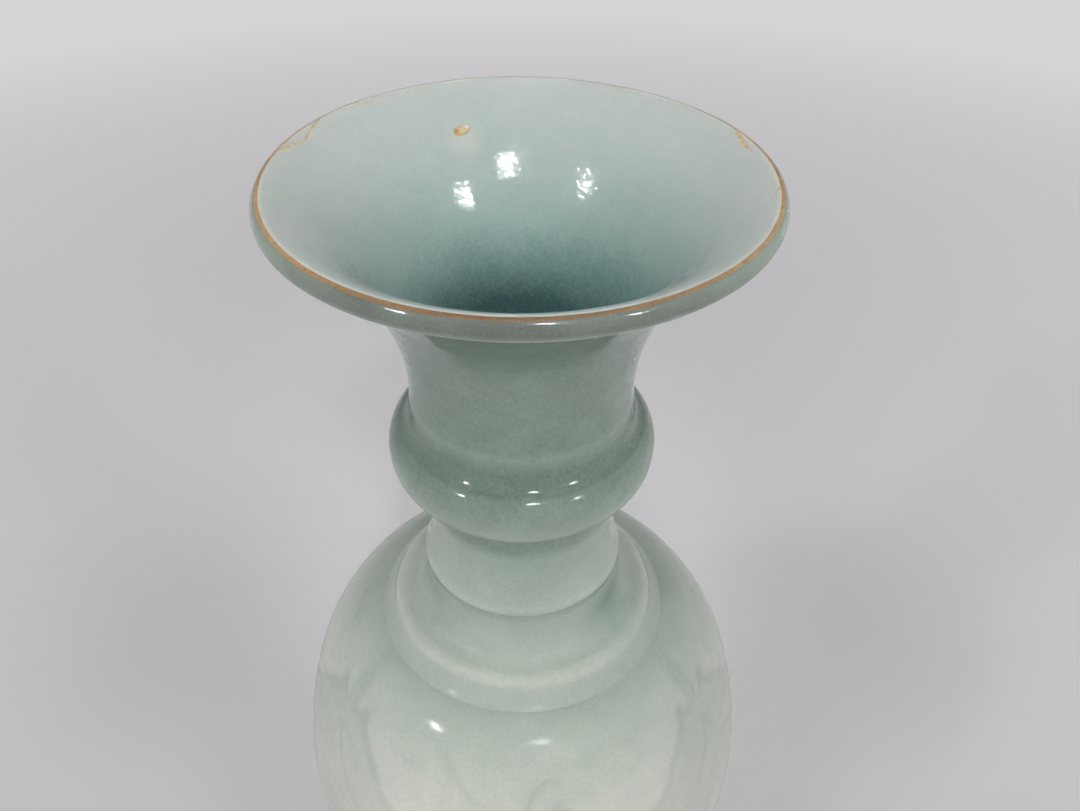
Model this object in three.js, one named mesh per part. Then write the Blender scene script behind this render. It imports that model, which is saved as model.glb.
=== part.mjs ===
// Celadon vase with a trumpet mouth, a ringed neck, a beaded collar and a baluster body.
// It is thrown in sections that are luted together with slip. Each section is a solid of
// revolution about Z, and the tongue under it drops into a rebate in the section below.
// Millimetres, +Z up, origin at the centre of the foot where the vase stands.

import * as THREE from 'three';

// How finely round forms are stepped
const FACETS_ROUND = 40;
const STEPS_LONG = 10;
const STEPS_SHORT = 6;
const STEPS_SMALL = 4;

// Share of a round's reach that its two curve handles take, as in a quarter circle
const ROUND_EASE = 0.55;

// Luting seams between the sections
const SLIP_GAP = 0.3;
const TONGUE_THICKNESS = 2.2;
const TONGUE_DEPTH = 3;

// Heights of the sections, from the foot up
const FOOT_HEIGHT = 28;
const LOWER_BODY_HEIGHT = 98;
const SHOULDER_HEIGHT = 59;
const COLLAR_HEIGHT = 20.5;
const LOWER_NECK_HEIGHT = 26;
const RING_HEIGHT = 24;
const MOUTH_HEIGHT = 53.7;

// Spreading foot
const FOOT_RADIUS = 44.5;
const FOOT_FLANGE_HEIGHT = 5;
const FOOT_TOE = 1.2;
const FOOT_LAND_WIDTH = 6;
const ANKLE_RADIUS = 38;
const ANKLE_WALL = 8;

// Body
const BELLY_RADIUS = 64.4;
const BODY_WALL = 4.6;
const HEEL_WALL = 6;
const HEEL_REACH = 0.38;
const BELLY_REACH = 0.46;
const SHOULDER_FULLNESS = 1.88;

// Floor of the body and the disc that closes it
const FLOOR_THICKNESS = 7;
const FLOOR_LEDGE = 4;
const DISC_THICKNESS = 5;
const DISC_EDGE_THICKNESS = 1.7;
const DISC_DISH = 2.5;
const DISC_PLUG_DEPTH = 5;
const DISC_CLEARANCE = 1;

// Collar
const COLLAR_RADIUS = 34.5;
const COLLAR_BEAD_RADIUS = 3.1;
const COLLAR_WALL = 5;
const BEAD_FOOT_ANGLE = -20;
const BEAD_GROOVE_ANGLE = 128;

// Lower neck
const LOWER_NECK_RADIUS = 22;
const LOWER_NECK_WALL = 4.4;
const STEP_FLARE = 3.2;
const STEP_EDGE_HEIGHT = 0.9;
const STEP_SETBACK = 0.8;

// Neck ring
const RING_SWELL = 5.9;
const RING_CROWN_DROP = 13.2;
const RING_OVERHANG = 3.8;
const RING_UNDERCUT = 2.8;
const RING_FOOT_MARGIN = 0.6;
const RING_SHELF_REACH = 3;
const RING_SHELF_DROP = 6.9;
const RING_COVE_DROP = 1;

// Mouth
const NECK_RADIUS = 25.4;
const NECK_WALL = 4.2;
const NECK_FOOT_FLARE = 0.2;
const NECK_FOOT_HEIGHT = 4;
const LIP_RADIUS = 50.4;
const LIP_HEIGHT = 3.6;
const LIP_WALL = 3;
const LIP_UNDERCUT = 1.2;
const FLARE_SLOPE = 29;
const FLARE_REACH = 15;
const NECK_REACH = 0.45;

// Iron-brown dressing on the crest of the lip
const DRESSING_WIDTH = 1.4;
const DRESSING_HEIGHT = 0.8;

// Levels of the seams
const FOOT_SEAM_Z = FOOT_HEIGHT;
const BELLY_Z = FOOT_SEAM_Z + LOWER_BODY_HEIGHT;
const SHOULDER_Z = BELLY_Z + SHOULDER_HEIGHT;
const STEP_Z = SHOULDER_Z + COLLAR_HEIGHT;
const RING_FOOT_Z = STEP_Z + LOWER_NECK_HEIGHT;
const NECK_FOOT_Z = RING_FOOT_Z + RING_HEIGHT;
const LIP_Z = NECK_FOOT_Z + MOUTH_HEIGHT;

// Radii that follow from the ones above
const stepRadius = LOWER_NECK_RADIUS + STEP_FLARE;
const collarTopRadius = stepRadius - STEP_SETBACK;
const neckFootRadius = NECK_RADIUS + NECK_FOOT_FLARE;
const floorHoleRadius = ANKLE_RADIUS - ANKLE_WALL - FLOOR_LEDGE;

// Bores where the sections meet
const ankleBore = ANKLE_RADIUS - ANKLE_WALL;
const bellyBore = BELLY_RADIUS - BODY_WALL;
const shoulderBore = COLLAR_RADIUS - 2 * COLLAR_BEAD_RADIUS - TONGUE_THICKNESS;
const collarBore = collarTopRadius - COLLAR_WALL;
const lowerNeckBore = LOWER_NECK_RADIUS - LOWER_NECK_WALL;
const neckBore = NECK_RADIUS - NECK_WALL;

const point = (r, z) => new THREE.Vector2(r, z);
const celadon = (color) => new THREE.MeshStandardMaterial({ color, roughness: 0.16, metalness: 0 });
const ironWash = (color) => new THREE.MeshStandardMaterial({ color, roughness: 0.6, metalness: 0 });

// Points along a smooth curve with two handles
function sweep(start, startHandle, endHandle, end, steps) {
  return new THREE.CubicBezierCurve(start, startHandle, endHandle, end).getPoints(steps);
}

// A round that leaves its start level and reaches its end upright
function levelToUpright(start, end, steps) {
  const startHandle = point(start.x + (end.x - start.x) * ROUND_EASE, start.y);
  const endHandle = point(end.x, end.y - (end.y - start.y) * ROUND_EASE);
  return sweep(start, startHandle, endHandle, end, steps);
}

// A swelling line that is upright at both ends
function uprightToUpright(start, end, startReach, endReach, steps) {
  const rise = end.y - start.y;
  const startHandle = point(start.x, start.y + rise * startReach);
  const endHandle = point(end.x, end.y - rise * endReach);
  return sweep(start, startHandle, endHandle, end, steps);
}

// Points along an arc about a centre, between two angles in degrees
function arc(centre, radius, fromDegrees, toDegrees, steps) {
  return Array.from({ length: steps + 1 }, (_, i) => {
    const degrees = fromDegrees + ((toDegrees - fromDegrees) * i) / steps;
    const angle = THREE.MathUtils.degToRad(degrees);
    return point(centre.x + radius * Math.cos(angle), centre.y + radius * Math.sin(angle));
  });
}

// Upper half of a seam, from the bore outwards: the tongue and the land beside it
function tongueUnder(z, bore, landRadius) {
  return [
    point(bore, z - TONGUE_DEPTH),
    point(bore + TONGUE_THICKNESS, z - TONGUE_DEPTH),
    point(bore + TONGUE_THICKNESS, z),
    point(landRadius, z),
  ];
}

// Lower half of a seam, from the land inwards: the rebate that takes the tongue
function rebateOver(z, bore, landRadius) {
  const land = z - SLIP_GAP;
  const socketRadius = bore + TONGUE_THICKNESS + SLIP_GAP;
  const socketFloor = land - TONGUE_DEPTH;
  return [
    point(landRadius, land),
    point(socketRadius, land),
    point(socketRadius, socketFloor),
    point(bore, socketFloor),
  ];
}

// A solid of revolution, from an outline that runs up the outside and down the inside
function revolve(name, outline, material) {
  const apart = outline.filter((p, i) => i === 0 || p.distanceTo(outline[i - 1]) > SLIP_GAP / 10);
  const onAxis = apart[0].x === 0;
  const profile = onAxis ? apart : [...apart, apart[0].clone()];
  const geometry = new THREE.LatheGeometry(profile, FACETS_ROUND);
  geometry.rotateX(Math.PI / 2);
  const mesh = new THREE.Mesh(geometry, material);
  mesh.name = name;
  return mesh;
}

// Spreading foot, with a flat bare land where the vase stands
function footRing() {
  const landOuter = FOOT_RADIUS - FOOT_TOE;
  const landInner = landOuter - FOOT_LAND_WIDTH;
  const cove = levelToUpright(
    point(FOOT_RADIUS, FOOT_FLANGE_HEIGHT),
    point(ANKLE_RADIUS, FOOT_SEAM_Z - SLIP_GAP),
    STEPS_SHORT,
  );
  const hollow = uprightToUpright(
    point(ankleBore, FOOT_SEAM_Z - TONGUE_DEPTH - SLIP_GAP),
    point(landInner - FOOT_TOE, FOOT_TOE),
    ROUND_EASE,
    ROUND_EASE,
    STEPS_SHORT,
  );
  const outline = [
    point(landInner, 0),
    point(landOuter, 0),
    point(FOOT_RADIUS, FOOT_TOE),
    ...cove,
    ...rebateOver(FOOT_SEAM_Z, ankleBore, ANKLE_RADIUS),
    ...hollow,
  ];
  return revolve('foot_ring', outline, celadon(0xa9c2b3));
}

// Lower half of the body, from the pierced floor up to the belly
function lowerBody() {
  const floorTop = FOOT_SEAM_Z + FLOOR_THICKNESS;
  const side = uprightToUpright(
    point(ANKLE_RADIUS, FOOT_SEAM_Z),
    point(BELLY_RADIUS, BELLY_Z - SLIP_GAP),
    HEEL_REACH,
    BELLY_REACH,
    STEPS_LONG,
  );
  const inside = uprightToUpright(
    point(bellyBore, BELLY_Z - TONGUE_DEPTH - SLIP_GAP),
    point(ANKLE_RADIUS - HEEL_WALL, floorTop),
    BELLY_REACH,
    HEEL_REACH,
    STEPS_SHORT,
  );
  const outline = [
    point(floorHoleRadius, FOOT_SEAM_Z),
    point(ankleBore, FOOT_SEAM_Z),
    ...tongueUnder(FOOT_SEAM_Z, ankleBore, ANKLE_RADIUS),
    ...side,
    ...rebateOver(BELLY_Z, bellyBore, BELLY_RADIUS),
    ...inside,
    point(floorHoleRadius, floorTop),
  ];
  return revolve('lower_body', outline, celadon(0xb0c9ba));
}

// Dished disc dropped in from above: its plug fills the hole in the floor
function baseDisc() {
  const seat = FOOT_SEAM_Z + FLOOR_THICKNESS + SLIP_GAP;
  const plugRadius = floorHoleRadius - SLIP_GAP;
  const discRadius = ANKLE_RADIUS - HEEL_WALL - DISC_CLEARANCE;
  const outline = [
    point(0, seat - DISC_PLUG_DEPTH),
    point(plugRadius, seat - DISC_PLUG_DEPTH),
    point(plugRadius, seat),
    point(discRadius, seat),
    point(discRadius, seat + DISC_EDGE_THICKNESS),
    point(plugRadius, seat + DISC_THICKNESS),
    point(0, seat + DISC_THICKNESS - DISC_DISH),
  ];
  return revolve('base_disc', outline, celadon(0x9db7a8));
}

// One quarter of a full round, a little flattened, from the belly up to the collar's seat
function shoulderLine(bellyRadius, topRadius, topZ, steps) {
  return Array.from({ length: steps + 1 }, (_, i) => {
    const angle = (Math.PI / 2) * (i / steps);
    const across = Math.cos(angle) ** (2 / SHOULDER_FULLNESS);
    const up = Math.sin(angle) ** (2 / SHOULDER_FULLNESS);
    return point(topRadius + (bellyRadius - topRadius) * across, BELLY_Z + (topZ - BELLY_Z) * up);
  });
}

// Upper half of the body, with the full shoulder
function upperBody() {
  const socketFloor = SHOULDER_Z - SLIP_GAP - TONGUE_DEPTH;
  const outside = shoulderLine(BELLY_RADIUS, COLLAR_RADIUS, SHOULDER_Z - SLIP_GAP, STEPS_LONG);
  const inside = shoulderLine(bellyBore, shoulderBore, socketFloor - BODY_WALL, STEPS_SHORT);
  const outline = [
    ...tongueUnder(BELLY_Z, bellyBore, BELLY_RADIUS),
    ...outside,
    ...rebateOver(SHOULDER_Z, shoulderBore, COLLAR_RADIUS),
    ...inside.reverse(),
  ];
  return revolve('upper_body', outline, celadon(0xb4ccbd));
}

// Bell-shaped tier with a round bead along its edge
function collar() {
  const beadCentre = point(COLLAR_RADIUS - COLLAR_BEAD_RADIUS, SHOULDER_Z + COLLAR_BEAD_RADIUS);
  const bead = arc(beadCentre, COLLAR_BEAD_RADIUS, BEAD_FOOT_ANGLE, BEAD_GROOVE_ANGLE, STEPS_SHORT);
  const groove = bead[bead.length - 1];
  const bell = levelToUpright(groove, point(collarTopRadius, STEP_Z - SLIP_GAP), STEPS_SHORT);
  const inside = uprightToUpright(
    point(collarBore, STEP_Z - TONGUE_DEPTH - SLIP_GAP),
    point(shoulderBore, SHOULDER_Z),
    ROUND_EASE,
    ROUND_EASE,
    STEPS_SMALL,
  );
  const outline = [
    ...tongueUnder(SHOULDER_Z, shoulderBore, bead[0].x),
    ...bead,
    ...bell,
    ...rebateOver(STEP_Z, collarBore, collarTopRadius),
    ...inside,
  ];
  return revolve('collar', outline, celadon(0xb8cfc0));
}

// Sleeve between the ring and the collar, ending in a small flared step
function lowerNeck() {
  const side = levelToUpright(
    point(stepRadius, STEP_Z + STEP_EDGE_HEIGHT),
    point(LOWER_NECK_RADIUS, RING_FOOT_Z - SLIP_GAP),
    STEPS_SHORT,
  );
  const inside = uprightToUpright(
    point(lowerNeckBore, RING_FOOT_Z - TONGUE_DEPTH - SLIP_GAP),
    point(collarBore, STEP_Z),
    ROUND_EASE,
    ROUND_EASE,
    STEPS_SMALL,
  );
  const outline = [
    ...tongueUnder(STEP_Z, collarBore, stepRadius - STEP_EDGE_HEIGHT),
    ...side,
    ...rebateOver(RING_FOOT_Z, lowerNeckBore, LOWER_NECK_RADIUS),
    ...inside,
  ];
  return revolve('lower_neck', outline, celadon(0xaec8b8));
}

// Full round ring that swells out under the mouth section, with a cove from its shelf up to the neck
function neckRing() {
  const ringRadius = NECK_RADIUS + RING_SWELL;
  const crown = point(ringRadius, NECK_FOOT_Z - RING_CROWN_DROP);
  const lowerEdge = point(LOWER_NECK_RADIUS + RING_OVERHANG, RING_FOOT_Z + RING_UNDERCUT);
  const shelf = point(NECK_RADIUS + RING_SHELF_REACH, NECK_FOOT_Z - RING_SHELF_DROP);
  const coveTop = point(neckFootRadius, NECK_FOOT_Z - RING_COVE_DROP);
  const under = levelToUpright(lowerEdge, crown, STEPS_SHORT);
  const over = levelToUpright(shelf, crown, STEPS_SMALL).reverse();
  const cove = levelToUpright(shelf, coveTop, STEPS_SMALL);
  const inside = uprightToUpright(
    point(neckBore, NECK_FOOT_Z - TONGUE_DEPTH - SLIP_GAP),
    point(lowerNeckBore, RING_FOOT_Z),
    ROUND_EASE,
    ROUND_EASE,
    STEPS_SMALL,
  );
  const outline = [
    ...tongueUnder(RING_FOOT_Z, lowerNeckBore, LOWER_NECK_RADIUS + RING_FOOT_MARGIN),
    ...under,
    ...over,
    ...cove,
    ...rebateOver(NECK_FOOT_Z, neckBore, neckFootRadius),
    ...inside,
  ];
  return revolve('neck_ring', outline, celadon(0xa4c0b0));
}

// Trumpet mouth and neck thrown in one, with a rounded lip and a seat for the dressing
function mouthTrumpet() {
  const waist = point(NECK_RADIUS, NECK_FOOT_Z + NECK_FOOT_HEIGHT);
  const seat = LIP_Z - DRESSING_HEIGHT - SLIP_GAP;
  const seatInner = LIP_RADIUS - DRESSING_WIDTH - SLIP_GAP;
  const lipFoot = point(LIP_RADIUS - LIP_UNDERCUT, seat - LIP_HEIGHT);
  const lipInner = point(LIP_RADIUS - LIP_WALL, LIP_Z - DRESSING_HEIGHT);
  const slope = THREE.MathUtils.degToRad(FLARE_SLOPE);
  const flareHandle = point(-Math.cos(slope), -Math.sin(slope)).multiplyScalar(FLARE_REACH);
  const foot = uprightToUpright(
    point(neckFootRadius, NECK_FOOT_Z),
    waist,
    ROUND_EASE,
    ROUND_EASE,
    STEPS_SMALL,
  );
  const flare = sweep(
    waist,
    point(NECK_RADIUS, waist.y + (lipFoot.y - waist.y) * NECK_REACH),
    lipFoot.clone().add(flareHandle),
    lipFoot,
    STEPS_LONG,
  );
  const lip = levelToUpright(lipFoot, point(LIP_RADIUS, seat), STEPS_SMALL);
  const inside = sweep(
    lipInner,
    lipInner.clone().add(flareHandle),
    point(neckBore, NECK_FOOT_Z + (lipInner.y - NECK_FOOT_Z) * NECK_REACH),
    point(neckBore, NECK_FOOT_Z),
    STEPS_LONG,
  );
  const outline = [
    ...tongueUnder(NECK_FOOT_Z, neckBore, neckFootRadius),
    ...foot,
    ...flare,
    ...lip,
    point(seatInner, seat),
    point(seatInner, LIP_Z - SLIP_GAP),
    ...inside,
  ];
  return revolve('mouth_trumpet', outline, celadon(0xbcd2c6));
}

// Thin band of iron-brown wash along the crest of the lip
function rimDressing() {
  const inner = LIP_RADIUS - DRESSING_WIDTH;
  const foot = LIP_Z - DRESSING_HEIGHT;
  const crest = point(LIP_RADIUS - DRESSING_WIDTH / 2, LIP_Z);
  const outline = [
    point(inner, foot),
    point(LIP_RADIUS, foot),
    ...levelToUpright(crest, point(LIP_RADIUS, foot), STEPS_SMALL).reverse().slice(1),
    point(inner, LIP_Z - DRESSING_HEIGHT / 4),
  ];
  return revolve('rim_dressing', outline, ironWash(0x9a6a3a));
}

const vase = new THREE.Group();
vase.add(
  footRing(),
  baseDisc(),
  lowerBody(),
  upperBody(),
  collar(),
  lowerNeck(),
  neckRing(),
  mouthTrumpet(),
  rimDressing(),
);

export default vase;
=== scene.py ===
import math

import bpy
import numpy as np
from mathutils import Matrix, Vector


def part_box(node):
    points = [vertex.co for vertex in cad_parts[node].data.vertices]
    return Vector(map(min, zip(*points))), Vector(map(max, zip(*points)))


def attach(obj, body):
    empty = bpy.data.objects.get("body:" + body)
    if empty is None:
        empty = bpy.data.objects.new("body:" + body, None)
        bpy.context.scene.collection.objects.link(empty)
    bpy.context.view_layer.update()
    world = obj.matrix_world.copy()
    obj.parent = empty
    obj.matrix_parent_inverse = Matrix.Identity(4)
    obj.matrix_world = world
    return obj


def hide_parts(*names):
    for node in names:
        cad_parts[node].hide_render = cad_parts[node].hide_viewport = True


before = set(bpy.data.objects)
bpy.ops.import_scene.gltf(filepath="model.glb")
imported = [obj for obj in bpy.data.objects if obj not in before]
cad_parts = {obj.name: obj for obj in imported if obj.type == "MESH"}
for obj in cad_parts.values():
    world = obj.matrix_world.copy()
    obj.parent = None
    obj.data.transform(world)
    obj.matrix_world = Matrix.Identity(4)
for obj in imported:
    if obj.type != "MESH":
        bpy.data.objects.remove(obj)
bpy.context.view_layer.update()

MM = 0.001


# Levels of the seams and widest radii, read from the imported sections
def top_of(node):
    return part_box(node)[1].z


def widest(node):
    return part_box(node)[1].x


FOOT_SEAM = top_of("foot_ring")
BELLY_SEAM = top_of("lower_body")
SHOULDER_SEAM = top_of("upper_body")
STEP_SEAM = top_of("collar")
RING_SEAM = top_of("lower_neck")
NECK_SEAM = top_of("neck_ring")
LIP_TOP = top_of("rim_dressing")
DISC_TOP = top_of("base_disc")
DISC_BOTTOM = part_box("base_disc")[0].z

FOOT_RADIUS = widest("foot_ring")
BELLY_RADIUS = widest("upper_body")
COLLAR_RADIUS = widest("collar")
STEP_RADIUS = widest("lower_neck")
RING_RADIUS = widest("neck_ring")
LIP_SWELL = 0.9 * MM
LIP_RADIUS = widest("mouth_trumpet") + LIP_SWELL
DISC_RADIUS = widest("base_disc")

# Foot and body
SLIP_GAP = 0.3 * MM
FOOT_TOE = 1.2 * MM
FOOT_LAND = 6.0 * MM
FOOT_FLANGE = 5.0 * MM
FOOT_EDGE = 1.3 * MM
ANKLE_RADIUS = 38.0 * MM
ANKLE_BORE = 30.0 * MM
HEEL_BORE = 32.0 * MM
FLOOR_THICKNESS = 7.0 * MM
FLOOR_HOLE = 26.0 * MM
BODY_WALL = 4.6 * MM
HEEL_REACH = 0.38
BELLY_REACH = 0.46
SHOULDER_FULLNESS = 1.88

# Collar
BEAD_RADIUS = 3.1 * MM
BEAD_SIDE_ANGLE = 14.0
BEAD_TOP_ANGLE = 88.0
BEAD_SEAT = 0.6
COLLAR_FILLET = 6.6 * MM
FILLET_TOE = np.array((-0.62, 0.16))
FILLET_END = np.array((0.5, -2.0)) * MM
BELL_DIP = 0.05 * MM
BELL_REACH = 5.4 * MM
BELL_RISE = 8.5 * MM
SHOULDER_BORE = 26.1 * MM
COLLAR_TOP = 24.4 * MM
COLLAR_BORE = 19.4 * MM

# Lower neck
STEP_EDGE = 2.3 * MM
STEP_DROP = 1.6 * MM
STEP_LOW_ANGLE = -20.0
STEP_HIGH_ANGLE = 40.0
STEP_FILLET = 6.0 * MM
STEP_FILLET_RISE = 2.4 * MM
STEP_FILLET_END = np.array((-0.6, -1.0)) * MM
SLEEVE_START = np.array((-1.3, 1.6)) * MM
SLEEVE_REACH = 12.0 * MM
LOWER_NECK_RADIUS = 22.0 * MM
LOWER_NECK_BORE = 17.6 * MM

# Ring, neck and lip
RING_CROWN_DROP = 12.9 * MM
RING_CROWN_REACH = 3.2 * MM
RING_OVERHANG = 3.8 * MM
RING_UNDERCUT = 3.1 * MM
RING_SHELF_RADIUS = 28.4 * MM
RING_SHELF_DROP = 6.6 * MM
RING_SHELF_SLANT = np.array((1.6, -0.6)) * MM
RING_COVE_DROP = 0.7 * MM
RING_COVE_OUT = 0.1 * MM
RING_COVE_REACH = 3.7 * MM
NECK_RADIUS = 25.4 * MM
NECK_BORE = 21.2 * MM
NECK_FOOT_RADIUS = 25.6 * MM
NECK_FOOT_HEIGHT = 5.0 * MM
NECK_REACH = 0.45
FLARE_SLOPE = math.radians(29.0)
FLARE_ALONG = np.array((math.cos(FLARE_SLOPE), math.sin(FLARE_SLOPE)))
FLARE_REACH = 15.0 * MM
LIP_FOOT_IN = 2.2 * MM
LIP_FOOT_DROP = 4.85 * MM
LIP_ROLL_REACH = 1.5 * MM
LIP_ROLL_RISE = 1.3 * MM
LIP_BULGE_DROP = 2.7 * MM
LIP_CREST_IN = 1.85 * MM
LIP_CREST_REACH = 0.7 * MM
LIP_INNER_IN = 3.9 * MM
LIP_INNER_DROP = 0.8 * MM
LIP_INNER_REACH = 0.6 * MM

# Steps along the curves, and points along the straight runs
ROUND_EASE = 0.55
STEPS_LONG = 96
STEPS_MID = 40
STEPS_SHORT = 20
STEPS_STEP_EDGE = 16
STEPS_FOOT_EDGE = 10
STEPS_TOE = 8
POINTS_DISC = 10
POINTS_LAND = 7
POINTS_SEAT = 6

# Points closer than this count as one, along a section and along the whole skin
SAME_POINT = 0.004 * MM
SAME_SKIN_POINT = 0.002 * MM


# A share, kept between 0 and 1
def kept(share):
    return np.clip(share, 0.0, 1.0)


# Points along a smooth curve with two handles
def sweep(start, start_handle, end_handle, end, steps):
    t = np.linspace(0.0, 1.0, steps + 1)[:, None]
    a, b, c, d = (np.array(p, float) for p in (start, start_handle, end_handle, end))
    return (1 - t) ** 3 * a + 3 * (1 - t) ** 2 * t * b + 3 * (1 - t) * t ** 2 * c + t ** 3 * d


# A round that leaves its start level and reaches its end upright
def level_to_upright(start, end, steps):
    start_handle = (start[0] + (end[0] - start[0]) * ROUND_EASE, start[1])
    end_handle = (end[0], end[1] - (end[1] - start[1]) * ROUND_EASE)
    return sweep(start, start_handle, end_handle, end, steps)


# A round that leaves its start upright and reaches its end level
def upright_to_level(start, end, steps):
    return level_to_upright(end, start, steps)[::-1]


# A swelling line that is upright at both ends
def upright_to_upright(start, end, start_reach, end_reach, steps):
    rise = end[1] - start[1]
    start_handle = (start[0], start[1] + rise * start_reach)
    end_handle = (end[0], end[1] - rise * end_reach)
    return sweep(start, start_handle, end_handle, end, steps)


# Points along an arc about a centre, between two angles in degrees
def arc(centre, radius, from_degrees, to_degrees, steps):
    angle = np.radians(np.linspace(from_degrees, to_degrees, steps + 1))
    return np.stack([centre[0] + radius * np.cos(angle), centre[1] + radius * np.sin(angle)], 1)


# One quarter of a full round, a little flattened
def shoulder_line(belly_radius, top_radius, top_z, steps):
    angle = np.linspace(0.0, math.pi / 2, steps + 1)
    across = kept(np.cos(angle)) ** (2 / SHOULDER_FULLNESS)
    up = np.sin(angle) ** (2 / SHOULDER_FULLNESS)
    radius = top_radius + (belly_radius - top_radius) * across
    height = BELLY_SEAM + (top_z - BELLY_SEAM) * up
    return np.stack([radius, height], 1)


# Length of each step of a line
def steps_of(line):
    return np.linalg.norm(np.diff(line, axis=0), axis=1)


# Length along a line from its start to each of its points
def run_along(line):
    return np.concatenate([[0.0], np.cumsum(steps_of(line))])


# Points at given lengths along a line
def at_length(where, along, line):
    return np.stack([np.interp(where, along, column) for column in line.T], -1)


# Directions, each made one unit long
def unit(directions):
    return directions / np.linalg.norm(directions, axis=-1)[..., None]


# Several runs end to end, with doubled points dropped
def joined(*runs):
    line = np.concatenate([np.array(run, float).reshape(-1, 2) for run in runs])
    keep = np.concatenate([[True], steps_of(line) > SAME_POINT])
    return line[keep]


# Outside of each section, from the foot up
def foot_outside():
    land_outer = FOOT_RADIUS - FOOT_TOE
    land_inner = land_outer - FOOT_LAND
    edge_radius = FOOT_RADIUS - FOOT_EDGE
    land = np.linspace((land_inner, 0.0), (land_outer, 0.0), POINTS_LAND)
    toe = arc((land_outer, FOOT_TOE), FOOT_TOE, -90, 0, STEPS_TOE)
    edge = arc((edge_radius, FOOT_FLANGE - FOOT_EDGE), FOOT_EDGE, 0, 90, STEPS_FOOT_EDGE)
    cove = level_to_upright((edge_radius, FOOT_FLANGE), (ANKLE_RADIUS, FOOT_SEAM), STEPS_MID)
    return joined(land, toe, edge, cove)


def lower_outside():
    start = (ANKLE_RADIUS, FOOT_SEAM)
    end = (BELLY_RADIUS, BELLY_SEAM)
    return joined(upright_to_upright(start, end, HEEL_REACH, BELLY_REACH, STEPS_LONG))


def upper_outside():
    line = shoulder_line(BELLY_RADIUS, COLLAR_RADIUS, SHOULDER_SEAM, STEPS_LONG + STEPS_MID)
    seat_end = (COLLAR_RADIUS - BEAD_RADIUS * BEAD_SEAT, SHOULDER_SEAM)
    return joined(line, np.linspace(line[-1], seat_end, POINTS_SEAT))


def collar_outside():
    centre = (COLLAR_RADIUS - BEAD_RADIUS, SHOULDER_SEAM + BEAD_RADIUS)
    bead = arc(centre, BEAD_RADIUS, BEAD_SIDE_ANGLE, BEAD_TOP_ANGLE, STEPS_MID)
    shoulder = shoulder_line(BELLY_RADIUS, COLLAR_RADIUS, SHOULDER_SEAM, STEPS_LONG)
    toe_radius = COLLAR_RADIUS + COLLAR_FILLET
    toe = np.array((toe_radius, np.interp(toe_radius, shoulder[::-1, 0], shoulder[::-1, 1])))
    toe_handle = toe + FILLET_TOE * COLLAR_FILLET
    fillet = sweep(toe, toe_handle, bead[0] + FILLET_END, bead[0], STEPS_MID)
    top = np.array((COLLAR_TOP, STEP_SEAM))
    bell_handle = bead[-1] - (BELL_REACH, BELL_DIP)
    bell = sweep(bead[-1], bell_handle, top - (0.0, BELL_RISE), top, STEPS_MID)
    return joined(fillet, bead, bell)


def sleeve_outside():
    centre = (STEP_RADIUS - STEP_EDGE, STEP_SEAM + STEP_EDGE - STEP_DROP)
    edge = arc(centre, STEP_EDGE, STEP_LOW_ANGLE, STEP_HIGH_ANGLE, STEPS_STEP_EDGE)
    foot = np.array((COLLAR_TOP, STEP_SEAM - STEP_FILLET))
    foot_handle = foot + (0.0, STEP_FILLET_RISE)
    under = sweep(foot, foot_handle, edge[0] + STEP_FILLET_END, edge[0], STEPS_SHORT)
    top = np.array((LOWER_NECK_RADIUS, RING_SEAM))
    side = sweep(edge[-1], edge[-1] + SLEEVE_START, top - (0.0, SLEEVE_REACH), top, STEPS_MID)
    return joined(under, edge, side)


def ring_outside():
    lower_edge = (LOWER_NECK_RADIUS + RING_OVERHANG, RING_SEAM + RING_UNDERCUT)
    crown = (RING_RADIUS, NECK_SEAM - RING_CROWN_DROP)
    under = np.linspace((LOWER_NECK_RADIUS, RING_SEAM), lower_edge, POINTS_SEAT)
    belly = level_to_upright(lower_edge, crown, STEPS_MID)
    shelf = np.array((RING_SHELF_RADIUS, NECK_SEAM - RING_SHELF_DROP))
    crown_handle = (RING_RADIUS, crown[1] + RING_CROWN_REACH)
    over = sweep(crown, crown_handle, shelf + RING_SHELF_SLANT, shelf, STEPS_MID)
    top = (NECK_FOOT_RADIUS, NECK_SEAM - RING_COVE_DROP)
    top_handle = (NECK_FOOT_RADIUS + RING_COVE_OUT, top[1] - RING_COVE_REACH)
    cove = sweep(shelf, shelf - RING_SHELF_SLANT, top_handle, top, STEPS_SHORT)
    return joined(under, belly, over, cove, [(NECK_FOOT_RADIUS, NECK_SEAM)])


def mouth_outside():
    waist = (NECK_RADIUS, NECK_SEAM + NECK_FOOT_HEIGHT)
    lip_foot = np.array((LIP_RADIUS - LIP_FOOT_IN, LIP_TOP - LIP_FOOT_DROP))
    foot = upright_to_upright((NECK_FOOT_RADIUS, NECK_SEAM), waist, ROUND_EASE, ROUND_EASE, STEPS_SHORT)
    rise_handle = (NECK_RADIUS, waist[1] + (lip_foot[1] - waist[1]) * NECK_REACH)
    flare = sweep(waist, rise_handle, lip_foot - FLARE_ALONG * FLARE_REACH, lip_foot, STEPS_LONG)
    bulge = (LIP_RADIUS, LIP_TOP - LIP_BULGE_DROP)
    roll_handle = lip_foot + FLARE_ALONG * LIP_ROLL_REACH
    roll = sweep(lip_foot, roll_handle, (LIP_RADIUS, bulge[1] - LIP_ROLL_RISE), bulge, STEPS_SHORT)
    over = upright_to_level(bulge, (LIP_RADIUS - LIP_CREST_IN, LIP_TOP), STEPS_SHORT)
    return joined(foot, flare, roll, over)


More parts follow.
